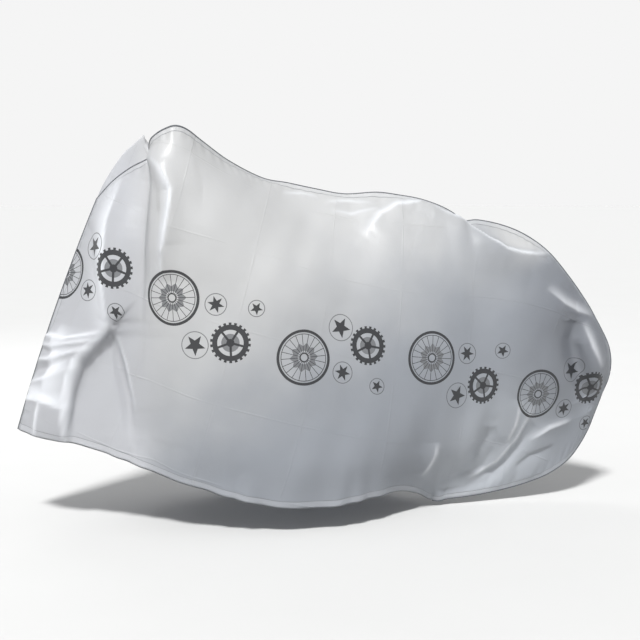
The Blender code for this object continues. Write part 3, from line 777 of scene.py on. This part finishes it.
def from_spoke(add, turns, count):
    """How far a direction lies from the nearest of the spokes, 0 on it and 0.5 halfway to the next."""
    return add("Math", (add("Math", (turns, count), operation="MULTIPLY"), 0.5), operation="PINGPONG")


def rosette(add, s, t, place, sizes):
    """Spoked rosette: a thick and a thin ring, a hub, thin spokes between, and a tinted ring of petals."""
    radius, line = sizes.wheel / 2, sizes.line
    distance, turns = motif_place(add, s, t, *place)
    spokes, petals = 20, 10
    half_spoke = 0.22 * line
    hub, inner = 0.15 * radius, 0.84 * radius
    petal_foot, petal_side, petal_tip = 0.24 * radius, 0.40 * radius, 0.53 * radius
    ink = [
        add("Math", (distance, middle, half), operation="COMPARE")
        for middle, half in ((radius - line, line), (inner, line / 4), (hub, line / 2))]
    aside = add("Math", (from_spoke(add, turns, spokes), distance), operation="MULTIPLY")
    spoke = add("Math", (aside, half_spoke * spokes / tau), operation="LESS_THAN")
    span = add("Math", (distance, (hub + inner) / 2, (inner - hub) / 2), operation="COMPARE")
    ink.append(add("Math", (spoke, span), operation="MULTIPLY"))
    rise = 2 * (petal_tip - petal_side)
    petal = add("Math", (from_spoke(add, turns, petals), rise, petal_side), operation="MULTIPLY_ADD")
    inside = add("Math", (distance, petal), operation="LESS_THAN")
    outside = add("Math", (distance, petal_foot), operation="GREATER_THAN")
    return ink, [add("Math", (inside, outside), operation="MULTIPLY")]


def cog(add, s, t, place, sizes):
    """Toothed ring: a thick inked rim with teeth, five spokes, an inked hub and a tinted web."""
    radius, line = sizes.cog / 2, sizes.line
    distance, turns = motif_place(add, s, t, *place)
    teeth, spokes = 22, 5
    half_gap = 0.25                     # of the distance between two teeth
    tooth_height, half_spoke = 1.5 * line, 0.8 * line
    hub, web, rim, spoke_end = (share * radius for share in (0.22, 0.50, 0.72, 0.74))
    tooth = add("Math", (from_spoke(add, turns, teeth), half_gap), operation="GREATER_THAN")
    edge = add("Math", (tooth, tooth_height, radius), operation="MULTIPLY_ADD")
    rim_in = add("Math", (distance, edge), operation="LESS_THAN")
    rim_out = add("Math", (distance, rim), operation="GREATER_THAN")
    aside = add("Math", (from_spoke(add, turns, spokes), distance), operation="MULTIPLY")
    spoke = add("Math", (aside, half_spoke * spokes / tau), operation="LESS_THAN")
    span = add("Math", (distance, spoke_end), operation="LESS_THAN")
    ink = [
        add("Math", (rim_in, rim_out), operation="MULTIPLY"),
        add("Math", (spoke, span), operation="MULTIPLY"),
        add("Math", (distance, hub), operation="LESS_THAN"),
    ]
    return ink, [add("Math", (distance, web), operation="LESS_THAN")]


def star(add, s, t, each, sizes):
    """Star with straight edges from each tip to the notch beside it, with a tinted ring around it.

    Folded into half of one ray, a point at p along the ray and q beside it is inside where
    p * notch_y + q * (radius - notch_x) < radius * notch_y.
    """
    radius = each.share * sizes.star
    notch, ring = 0.42 * radius, 1.22 * radius
    distance, turns = motif_place(add, s, t, *each.place)
    notch_x, notch_y = (notch * turn(pi / each.tips) for turn in (cos, sin))
    angle = add("Math", (from_spoke(add, turns, each.tips), tau / each.tips), operation="MULTIPLY")
    p, q = (add("Math", (distance, add("Math", (angle,), operation=turn)), operation="MULTIPLY")
            for turn in ("COSINE", "SINE"))
    reach = add("Math", (p, notch_y), operation="MULTIPLY")
    reach = add("Math", (q, radius - notch_x, reach), operation="MULTIPLY_ADD")
    ink = [add("Math", (reach, radius * notch_y), operation="LESS_THAN")]
    return ink, [add("Math", (distance, ring, sizes.line / 3), operation="COMPARE")]


# Where the motifs stand within their group, along the band and up from its middle, and the radius of each
# star as a share of the printed star's size.
ROSETTE_PLACE, COG_PLACE = (-0.110, -0.034), (0.094, 0.046)
Star = namedtuple("Star", "place share tips")
STARS = (Star((-0.006, 0.082), 0.50, 5), Star((0.022, -0.052), 0.40, 6), Star((0.142, -0.072), 0.30, 5))


def print_masks(add, s, t, sizes):
    """Ink and tint of the band: groups of a rosette, a cog and stars, every second group upside down."""
    half = 0.5 * sizes.pitch
    pair = add("Math", (s, 3 * half, -half), operation="WRAP")
    second = add("Math", (pair, half), operation="GREATER_THAN")
    local = add("Math", (s, half, -half), operation="WRAP")
    upright = add("Math", (second, -2.0, 1.0), operation="MULTIPLY_ADD")
    turned = add("Math", (t, upright), operation="MULTIPLY")
    motifs = [rosette(add, local, turned, ROSETTE_PLACE, sizes), cog(add, local, turned, COG_PLACE, sizes)]
    motifs += [star(add, local, turned, each, sizes) for each in STARS]
    masks = []
    for parts in zip(*motifs):
        mask, *others = [shape for group in parts for shape in group]
        for shape in others:
            mask = add("Math", (mask, shape), operation="MAXIMUM")
        masks.append(mask)
    return masks


# Painted light and shade: the film is painted lighter this way, in the model's own axes, towards
# the top as painted light and darker low down as painted shade. Its colour runs from the lower one to
# the upper one between two lengths along that way, which the cloudiness moves by a share of its own value.
PAINTED_LIGHT_WAY = (-0.4, 0.0, 0.85)
LOWER_UNTIL, UPPER_FROM, CLOUD_SHARE = -0.34, 0.24, 0.25
# Painted shade: the front edge is painted greyer between these two lengths.
FRONT_SHADE_FROM, FRONT_SHADE_UNTIL = -0.82, -0.97  # the front edge turns greyer between these two lengths

# Soft patches of painted light and shade: painted shade at the rounded back, painted light over the ridge
# behind the crown and where the film gathers at the rear end of the hem. For each: the middle, how far
# from it the patch is full, how far it reaches, and its colour.
PaintedLightPatch = namedtuple("PaintedLightPatch", "middle full reach colour")
PAINTED_LIGHT_PATCHES = {
    "shade at the rounded back": PaintedLightPatch((0.50, 0.0, -0.42), 0.08, 0.34, "back"),
    "light over the ridge behind the crown": PaintedLightPatch((0.34, 0.0, -0.11), 0.03, 0.15, "colour"),
    "gathers at the rear end of the hem": PaintedLightPatch((0.19, 0.0, -0.81), 0.10, 0.36, "gathered"),
}

# How many features each pattern has in a metre: clouds of about 170 mm, mottling of 11 mm, crinkles of 36 mm.
CLOUDS, MOTTLES, CRINKLES = 6.0, 90.0, 28.0
HALF_WELD = 0.0008                      # half the width of a welded line
CUT_EDGE = 0.0030                       # how far the dark edge of the hem reaches

# The relief of the film: creases from its packet, crinkles, mottling and welds.
PACKET_HALVES = (0.132, 0.118)          # half the distance between two such creases, along and across
PACKET_REACH = 0.004                    # how far such a crease reaches to each side
WORN_CLOUDS = (0.42, 0.58)              # cloudiness at which they are faintest, and in full
WORN_LEAST = 0.15                       # how much of them is left where they are faintest
MOTTLE_RELIEF, WELD_RELIEF = 0.10, -0.5     # as shares of the height of a crease
MOTTLE_RANGE = (0.3, 0.7)               # the mottling where the film is smoothest, and roughest
SMOOTHER, ROUGHER = 0.05, 0.06          # by how much, under and over the film's roughness
INK_STOPS = 0.25                        # how much less of the light comes through under ink


def film_seams(add, seam, hem, film):
    """Where the film is doubled, where it is welded, and where a dark line shows.

    The doubled film of the seam allowance and the hem has a thin welded line along its edge.
    """
    in_flange = add("Math", (seam, film.flange), operation="LESS_THAN")
    in_hem = add("Math", (hem, film.hem), operation="LESS_THAN")
    double = add("Math", (in_flange, in_hem), operation="MAXIMUM")
    seam_weld = add("Math", (seam, film.flange, HALF_WELD), operation="COMPARE")
    hem_weld = add("Math", (hem, film.hem, HALF_WELD), operation="COMPARE")
    weld = add("Math", (seam_weld, hem_weld), operation="MAXIMUM")
    cut_edge = add("Math", (hem, CUT_EDGE), operation="LESS_THAN")
    return double, weld, add("Math", (weld, cut_edge), operation="MAXIMUM")


def film_colour(add, film, cloud, marks):
    """Colour of the film, in layers. Each covers those before it, where its mask is, by a share."""
    place = add("TexCoord", output="Object")
    painted_light_along = add("VectorMath", (place, PAINTED_LIGHT_WAY), output="Value", operation="DOT_PRODUCT")
    clouded = add("Math", (cloud, CLOUD_SHARE, painted_light_along), operation="MULTIPLY_ADD")
    # Painted light towards the top and painted shade low down.
    upper = add("MapRange", (clouded, LOWER_UNTIL, UPPER_FROM), interpolation_type="SMOOTHSTEP")
    layers = [(upper, 1.0, film.colour)]
    # Patches of painted light and painted shade.
    for patch in PAINTED_LIGHT_PATCHES.values():
        away = add("VectorMath", (place, patch.middle), output="Value", operation="DISTANCE")
        near = add("MapRange", (away, patch.reach, patch.full), interpolation_type="SMOOTHSTEP")
        layers.append((near, 1.0, getattr(film, patch.colour)))
    # Painted shade: greyer at the front edge.
    length = add("SeparateXYZ", (place,), output="X")
    front_shade = add("MapRange", (length, FRONT_SHADE_FROM, FRONT_SHADE_UNTIL), interpolation_type="SMOOTHSTEP")
    layers.append((front_shade, 1.0, film.front))
    colour = film.low
    for mask, share, over in layers + marks:
        cover = add("Math", (mask, share), operation="MULTIPLY")
        colour = add("Mix", {"Factor": cover, MIX_UNDER: colour, MIX_OVER: over}, **MIX)
    return colour


def film_height(add, cut, ways, cloud, mottle, weld):
    """Height of the film's bump. The creases from its packet come and go along their length."""
    lines = [add("Math", (add("Math", (way, half, -half), operation="WRAP"),), operation="ABSOLUTE")
             for way, half in zip(ways, PACKET_HALVES)]
    nearest = add("Math", tuple(lines), operation="MINIMUM")
    packed = add("MapRange", (nearest, 0.0, PACKET_REACH, 1.0, 0.0), interpolation_type="SMOOTHSTEP")
    worn = add("MapRange", (cloud, *WORN_CLOUDS, WORN_LEAST, 1.0))
    crinkle = add("TexNoise", {"Vector": cut, "Scale": CRINKLES, "Detail": 4.0, "Roughness": 0.6},
                  output="Fac")
    height = add("Math", (packed, worn, crinkle), operation="MULTIPLY_ADD")
    height = add("Math", (mottle, MOTTLE_RELIEF, height), operation="MULTIPLY_ADD")
    return add("Math", (weld, WELD_RELIEF, height), operation="MULTIPLY_ADD")


def film_material(film, sizes):
    """Frosted film of soft vinyl, calendered and embossed fine: milky, half glossy and translucent."""
    made, add, surface = new_material("frosted_vinyl_film")
    cut = add("UVMap", output="UV", uv_map="cut")
    s, t = add("SeparateXYZ", (cut,), output=slice(0, 2))
    seam, hem, crease = (
        add("Attribute", output="Fac", attribute_name=name) for name in ("seam", "hem", "crease"))
    ink, tint = print_masks(add, s, t, sizes)
    double, weld, dark_line = film_seams(add, seam, hem, film)
    cloud = add("TexNoise", {"Vector": cut, "Scale": CLOUDS, "Detail": 2.0}, output="Fac")
    mottle = add("TexNoise", {"Vector": cut, "Scale": MOTTLES, "Detail": 2.0}, output="Fac")
    colour = film_colour(add, film, cloud, [
        (double, 0.2, film.double),
        (dark_line, 1.0, film.edge),
        # Creases: partly the film's own whitening, partly a painted highlight.
        (crease, 0.9, film.whitened_and_highlit),
        (tint, 0.85, sizes.tint),
        (ink, 0.97, sizes.ink),
    ])
    height = film_height(add, cut, (s, t), cloud, mottle, weld)
    normal = add("Bump", {"Strength": 0.7, "Distance": 0.0009, "Height": height})
    rough = add("MapRange", (mottle, *MOTTLE_RANGE, film.roughness - SMOOTHER, film.roughness + ROUGHER))
    reflected = add("BsdfPrincipled", {"Base Color": colour, "Roughness": rough, "IOR": 1.5, "Normal": normal,
                                       "Coat Weight": 0.14, "Coat Roughness": 0.20})
    printed = add("Math", (ink, tint), operation="MAXIMUM")
    passed = add("Mix", {"Factor": printed, MIX_UNDER: film.glow, MIX_OVER: sizes.tint}, **MIX)
    through = add("BsdfTranslucent", {"Color": passed, "Normal": normal})
    share = add("Math", (ink, -INK_STOPS, film.translucence), operation="MULTIPLY_ADD")
    made.node_tree.links.new(add("MixShader", (share, reflected, through)), surface)
    return made


STITCH_SHARE = 0.62                     # how much of a stitch is thread, and not the gap after it
STITCH_ROW, HALF_ROW = 0.25, 0.07       # turns around the welt from its side to each row, and half its width
RIB_PITCH = 0.0018                      # 0.6 mm on the real tape, and three times that here so that it shows
THREAD_RELIEF, RIB_RELIEF = 1.6, 0.3    # as shares of the bump's height
WEAR = 40.0                             # worn spots in a metre, each about 25 mm
WEAR_RANGE = (0.3, 0.7)                 # the wear where the tape is smoothest, and roughest
TAPE_ROUGHNESS = (0.48, 0.66)           # how rough it is there
TAPE_SHADE = 0.72                       # the darker parts of the tape, as a share of its colour


def welt_material(welt):
    """Woven polyester tape, folded over the film's edges and stitched: dark grey, matt, with fine ribs."""
    made, add, surface = new_material("polyester_binding_tape")
    cut = add("UVMap", output="UV", uv_map="cut")
    along, around = add("SeparateXYZ", (cut,), output=slice(0, 2))
    stitch = add("Math", (along, welt.stitch), operation="MODULO")
    on = add("Math", (stitch, STITCH_SHARE * welt.stitch), operation="LESS_THAN")
    folded = add("Math", (around, 0.5), operation="PINGPONG")
    row = add("Math", (folded, STITCH_ROW, HALF_ROW), operation="COMPARE")
    thread = add("Math", (on, row), operation="MULTIPLY")
    rib = add("Math", (add("Math", (along, tau / RIB_PITCH), operation="MULTIPLY"),), operation="SINE")
    wear = add("TexNoise", {"Vector": cut, "Scale": WEAR, "Detail": 3.0}, output="Fac")
    darker = tuple(TAPE_SHADE * c for c in welt.colour[:3]) + (1.0,)
    tape = add("Mix", {"Factor": wear, MIX_UNDER: darker, MIX_OVER: welt.colour}, **MIX)
    colour = add("Mix", {"Factor": thread, MIX_UNDER: tape, MIX_OVER: welt.thread}, **MIX)
    ribs = add("Math", (rib, RIB_RELIEF), operation="MULTIPLY")
    height = add("Math", (thread, THREAD_RELIEF, ribs), operation="MULTIPLY_ADD")
    normal = add("Bump", {"Strength": 0.6, "Distance": 0.0004, "Height": height})
    rough = add("MapRange", (wear, *WEAR_RANGE, *TAPE_ROUGHNESS))
    shader = add("BsdfPrincipled", {"Base Color": colour, "Roughness": rough, "Sheen Weight": 0.15,
                                    "Normal": normal})
    made.node_tree.links.new(shader, surface)
    return made


ROLLED = 3.0                            # rolled patches of the floor in a metre, each about 330 mm
ROLLED_SHADE = 0.97                     # the darker ones, as a share of the floor's colour


def floor_material(stage):
    """Matt painted studio floor, almost white, with faint rolled texture."""
    made, add, surface = new_material("matt_studio_paint")
    place = add("TexCoord", output="Object")
    roll = add("TexNoise", {"Vector": place, "Scale": ROLLED, "Detail": 4.0}, output="Fac")
    shade = tuple(ROLLED_SHADE * c for c in stage.floor[:3]) + (1.0,)
    colour = add("Mix", {"Factor": roll, MIX_UNDER: shade, MIX_OVER: stage.floor}, **MIX)
    made.node_tree.links.new(add("BsdfPrincipled", {"Base Color": colour, "Roughness": 0.9}), surface)
    return made


class COVER_OT_film(bpy.types.Operator):
    """Builds the two side panels of film"""
    bl_idname = "cover.film"
    bl_label = "Side panels"

    def execute(self, context):
        film = context.scene.cover_film
        finish = film_material(film, context.scene.cover_print)
        for side in SIDES:
            points, s, t, attributes = film_grid(side, film)
            faces = grid_faces(*points.shape[:2], turned=side.out_sign > 0)
            panel = add_mesh(side.name, points, faces, np.stack([s, t], axis=-1), attributes)
            panel.data.materials.append(finish)
            wall = panel.modifiers.new("film", "SOLIDIFY")
            wall.thickness = film.thickness
            wall.offset = 0.0
            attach(panel, BODY)
            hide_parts(side.node)
        return {"FINISHED"}


WELT_SIDES = 12
WELT_FULLNESS = 0.8                     # 1 makes the section an oval, and less makes it a fuller one


class COVER_OT_welt(bpy.types.Operator):
    """Builds the welt that binds the panels"""
    bl_idname = "cover.welt"
    bl_label = "Welt"

    def execute(self, context):
        welt = context.scene.cover_welt
        line, length = seam_line(welt.step)
        along = np.gradient(line, axis=0)
        along /= np.linalg.norm(along, axis=-1, keepdims=True)
        aside = np.array([0.0, 1.0, 0.0]) - along * along[:, 1:2]
        aside /= np.linalg.norm(aside, axis=-1, keepdims=True)
        upward = np.cross(along, aside)
        turns = np.linspace(0, 1, WELT_SIDES + 1)
        angle = turns[:, None] * tau
        # Section of the welt: each half axis times a power of the cosine or the sine, with its sign.
        wide, high = (np.sign(c) * np.abs(c) ** WELT_FULLNESS for c in (np.cos(angle), np.sin(angle)))
        ring = aside[:, None] * wide * welt.width + upward[:, None] * high * welt.height
        points = line[:, None] + ring / 2
        cut = np.stack(np.broadcast_arrays(length[:, None], turns), axis=-1)
        piece = add_mesh("seam_binding", points, grid_faces(*points.shape[:2], turned=False), cut)
        piece.data.materials.append(welt_material(welt))
        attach(piece, BODY)
        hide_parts("seam_welt")
        return {"FINISHED"}


FLOOR_RADIUS, FLOOR_SIDES = 60, 64
KEY_PLACE, BACK_PLACE = (-1.3, -2.6, 3.4), (-1.6, 3.6, 2.4)
BACK_SIZE = 2.4                         # the sides of the square light behind the cover

# The backdrop turns into the ceiling between these heights, which count from 0 at the horizon to 1 overhead.
HORIZON_UNTIL, CEILING_FROM = 0.12, 0.45


def point_at(made, place, target):
    """Puts a light or a camera at a place, turned towards the target, into the scene."""
    made.location = place
    made.rotation_euler = (target - made.location).to_track_quat("-Z", "Y").to_euler()
    bpy.context.collection.objects.link(made)


def surroundings(stage):
    """World with a light backdrop that turns into a darker ceiling."""
    world = bpy.data.worlds.new("surroundings")
    world.use_nodes = True
    add = partial(add_node, world.node_tree)
    height = add("SeparateXYZ", (add("TexCoord", output="Generated"),), output="Z")
    above = add("MapRange", (height, HORIZON_UNTIL, CEILING_FROM), interpolation_type="SMOOTHSTEP")
    colour = add("Mix", {"Factor": above, MIX_UNDER: stage.horizon, MIX_OVER: stage.ceiling}, **MIX)
    world.node_tree.links.new(colour, world.node_tree.nodes["Background"].inputs["Color"])
    return world


def photo_camera(target):
    """Camera with the view of the photograph."""
    camera = bpy.data.cameras.new("camera")
    camera.sensor_width = SENSOR
    camera.lens = LENS_PIXELS / FRAME_PIXELS * SENSOR
    eye = bpy.data.objects.new("camera", camera)
    level = cos(CAMERA_HEIGHT) * CAMERA_AWAY
    place = target + Vector((sin(CAMERA_AZIMUTH) * level, -cos(CAMERA_AZIMUTH) * level,
                             sin(CAMERA_HEIGHT) * CAMERA_AWAY))
    point_at(eye, place, target)
    return eye


class COVER_OT_stage(bpy.types.Operator):
    """Builds the floor, the lights and the camera"""
    bl_idname = "cover.stage"
    bl_label = "Stage"

    def execute(self, context):
        stage = context.scene.cover_stage
        turn = np.linspace(0, tau, FLOOR_SIDES + 1)[:-1]
        ground = np.full(FLOOR_SIDES, GROUND)
        rim = np.stack([FLOOR_RADIUS * np.cos(turn), FLOOR_RADIUS * np.sin(turn), ground], axis=-1)
        floor = add_mesh("floor", rim, np.arange(FLOOR_SIDES)[None])
        floor.data.materials.append(floor_material(stage))

        target = Vector(np.array(CAMERA_TARGET) - CROWN)
        for name, kind, place, settings in (
                ("key", "SUN", KEY_PLACE, {"energy": stage.key, "angle": stage.softness}),
                ("back", "AREA", BACK_PLACE, {"energy": stage.back, "size": BACK_SIZE})):
            light = bpy.data.lights.new(name, kind)
            for setting, value in settings.items():
                setattr(light, setting, value)
            point_at(bpy.data.objects.new(name, light), place, target)

        context.scene.world = surroundings(stage)
        context.scene.view_settings.view_transform = "Standard"
        context.scene.camera = photo_camera(target)
        return {"FINISHED"}


class COVER_PT_sidebar(bpy.types.Panel):
    """Lists the sizes, the colours and the pieces of the cover"""
    bl_idname = "COVER_PT_sidebar"
    bl_label = "Bicycle cover"
    bl_space_type = "VIEW_3D"
    bl_region_type = "UI"
    bl_category = "Cover"

    def draw(self, context):
        for group, operator in (
                ("cover_film", "cover.film"), ("cover_print", None), ("cover_welt", "cover.welt"),
                ("cover_stage", "cover.stage")):
            column = self.layout.column(align=True)
            values = getattr(context.scene, group)
            for name in values.__annotations__:
                column.prop(values, name)
            if operator:
                column.operator(operator)


GROUPS = {
    "cover_film": CoverFilm, "cover_print": CoverPrint, "cover_welt": CoverWelt, "cover_stage": CoverStage}
CLASSES = (*GROUPS.values(), COVER_OT_film, COVER_OT_welt, COVER_OT_stage, COVER_PT_sidebar)


def register():
    for each in CLASSES:
        bpy.utils.register_class(each)
    for name, group in GROUPS.items():
        setattr(bpy.types.Scene, name, PointerProperty(type=group))


def unregister():
    for name in GROUPS:
        delattr(bpy.types.Scene, name)
    for each in reversed(CLASSES):
        bpy.utils.unregister_class(each)


def main():
    """Builds the pieces and the stage."""
    register()
    bpy.ops.cover.welt()
    bpy.ops.cover.film()
    bpy.ops.cover.stage()


if __name__ == "__main__":
    main()
